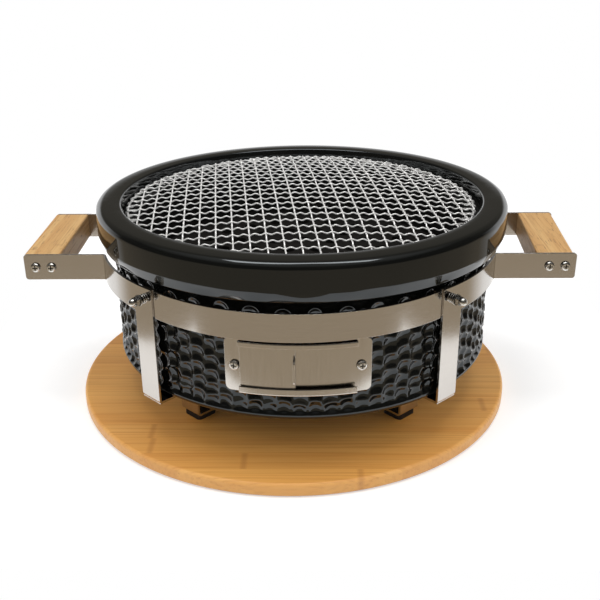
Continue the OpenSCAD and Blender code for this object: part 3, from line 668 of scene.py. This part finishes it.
FINISH = {
    "grip_left": GRIP_WOOD, "grip_right": GRIP_WOOD, "charcoal_grate": IRON,
    "front_band": STRAP_STEEL, "back_band": STRAP_STEEL,
    "vent_plate": VENT_STEEL, "vent_door": VENT_STEEL, "vent_screws": FASTENER,
    "clamp_bolts": FASTENER, "clamp_washers": FASTENER, "cap_nuts": FASTENER,
    "grip_screws_left": FASTENER, "grip_screws_right": FASTENER,
}
for place in ("front", "back"):
    for word in ("left", "right"):
        FINISH[f"bracket_{place}_{word}"] = STRAP_STEEL
        FINISH[f"foot_pad_{place}_{word}"] = RUBBER
for name, material in FINISH.items():
    nodes[name].data.materials.clear()
    nodes[name].data.materials.append(material)

# ---------------------------------------------------------------- stage, lights and camera

# what the metal and the glaze show of the studio: floor and wall in front, ceiling, back
FAR_FLOOR, FRONT_WALL = (0.40, 0.335, 0.25, 1), (0.06, 0.055, 0.05, 1)
CEILING, BACK_ROOM = (0.4, 0.39, 0.37, 1), (0.14, 0.13, 0.11, 1)
WHITE = (1, 1, 1, 1)
# grey level of the light from all round
AMBIENT = 0.72
# the sheet that the object stands on, in metres
SHEET_X, SHEET_FRONT, SHEET_BACK, SHEET_Z = 0.32, -0.27, 0.60, -0.0003
SHEET_TONE, SHEET_GLOW = (0.7, 0.7, 0.7, 1), 0.4


def stage_floor():
    """A white sheet under the object, whose glow hides its edges from the camera."""
    mesh = bpy.data.meshes.new("floor")
    corners = [(-SHEET_X, SHEET_FRONT, 0), (SHEET_X, SHEET_FRONT, 0),
               (SHEET_X, SHEET_BACK, 0), (-SHEET_X, SHEET_BACK, 0)]
    mesh.from_pydata(corners, [], [[0, 1, 2, 3]])
    mat = bpy.data.materials.new("pale_floor")
    mat.use_nodes = True
    m = Nodes(mat.node_tree)
    m.tree.nodes.clear()
    diffuse = m.add("ShaderNodeBsdfDiffuse", {"Color": SHEET_TONE})
    seen = m.any_ray("Is Camera Ray", "Is Glossy Ray", "Is Transmission Ray")
    glow = m.add("ShaderNodeEmission", {"Strength": m.math("MULTIPLY", seen, SHEET_GLOW)})
    both = m.add("ShaderNodeAddShader", {0: diffuse.outputs[0], 1: glow.outputs[0]})
    m.add("ShaderNodeOutputMaterial", {0: both.outputs[0]})
    mesh.materials.append(mat)
    obj = bpy.data.objects.new("floor", mesh)
    obj.location.z = SHEET_Z
    scene.collection.objects.link(obj)


def set_world():
    """White to the camera and low behind the object; in front of it a dim studio."""
    world = bpy.data.worlds.new("studio")
    scene.world = world
    world.use_nodes = True
    m = Nodes(world.node_tree)
    m.tree.nodes.clear()
    way = m.add("ShaderNodeTexCoord").outputs["Generated"]
    _, back, up = m.add("ShaderNodeSeparateXYZ", {0: way}).outputs
    front_room = m.mix(m.span(up, -0.12, 0.05), FAR_FLOOR, FRONT_WALL)
    front_room = m.mix(m.span(up, 0.6, 0.9), front_room, CEILING)
    back_room = m.mix(m.span(up, 0.18, 0.28), WHITE, BACK_ROOM)
    room = m.mix(m.span(back, 0.35, 0.6), front_room, back_room)
    seen = m.mix(m.any_ray("Is Camera Ray", "Is Transmission Ray"), room, WHITE)
    lit = m.mix(m.any_ray("Is Diffuse Ray"), seen, (AMBIENT, AMBIENT, AMBIENT, 1))
    sky = m.add("ShaderNodeBackground", {"Color": lit})
    m.add("ShaderNodeOutputWorld", {0: sky.outputs[0]})


def softbox(name, place, width, height, power, glossy):
    """Area light in metres and watts that looks at the bowl; glossy shows it in reflections."""
    data = bpy.data.lights.new(name, "AREA")
    data.shape = "RECTANGLE"
    data.size, data.size_y = width, height
    data.energy = power
    obj = bpy.data.objects.new(name, data)
    obj.location = place
    obj.rotation_euler = (Vector((0, 0, 0.1)) - Vector(place)).to_track_quat("-Z", "Y").to_euler()
    obj.visible_glossy = glossy
    scene.collection.objects.link(obj)


def set_camera(place, yaw, pitch, roll, lens):
    """Camera at a place in metres, turned left by yaw, down by pitch and over by roll, in degrees."""
    yaw, pitch, roll = math.radians(yaw), math.radians(pitch), math.radians(roll)
    ahead = Vector((-math.sin(yaw) * math.cos(pitch), math.cos(yaw) * math.cos(pitch),
                    -math.sin(pitch)))
    right = Vector((math.cos(yaw), math.sin(yaw), 0))
    above = right.cross(ahead)
    cam_x = right * math.cos(roll) + above * math.sin(roll)
    cam_y = above * math.cos(roll) - right * math.sin(roll)
    camera = bpy.data.objects.new("camera", bpy.data.cameras.new("camera"))
    rows = [(cam_x[k], cam_y[k], -ahead[k], place[k]) for k in range(3)]
    camera.matrix_world = Matrix(rows + [(0, 0, 0, 1)])
    camera.data.lens = lens
    camera.data.sensor_width = 36
    camera.data.clip_start, camera.data.clip_end = 0.05, 20
    scene.collection.objects.link(camera)
    scene.camera = camera


stage_floor()
set_world()
softbox("overhead", (0.0, -0.1, 1.35), 1.0, 0.4, 8, True)
softbox("left", (-1.3, -0.6, 0.9), 0.8, 0.8, 5, False)
softbox("right", (1.3, -0.6, 0.9), 0.8, 0.8, 5, False)
set_camera((0.010548, -0.726351, 0.392804), yaw=1.013, pitch=23.48, roll=-0.532, lens=52.006)
scene.view_settings.view_transform = "Standard"
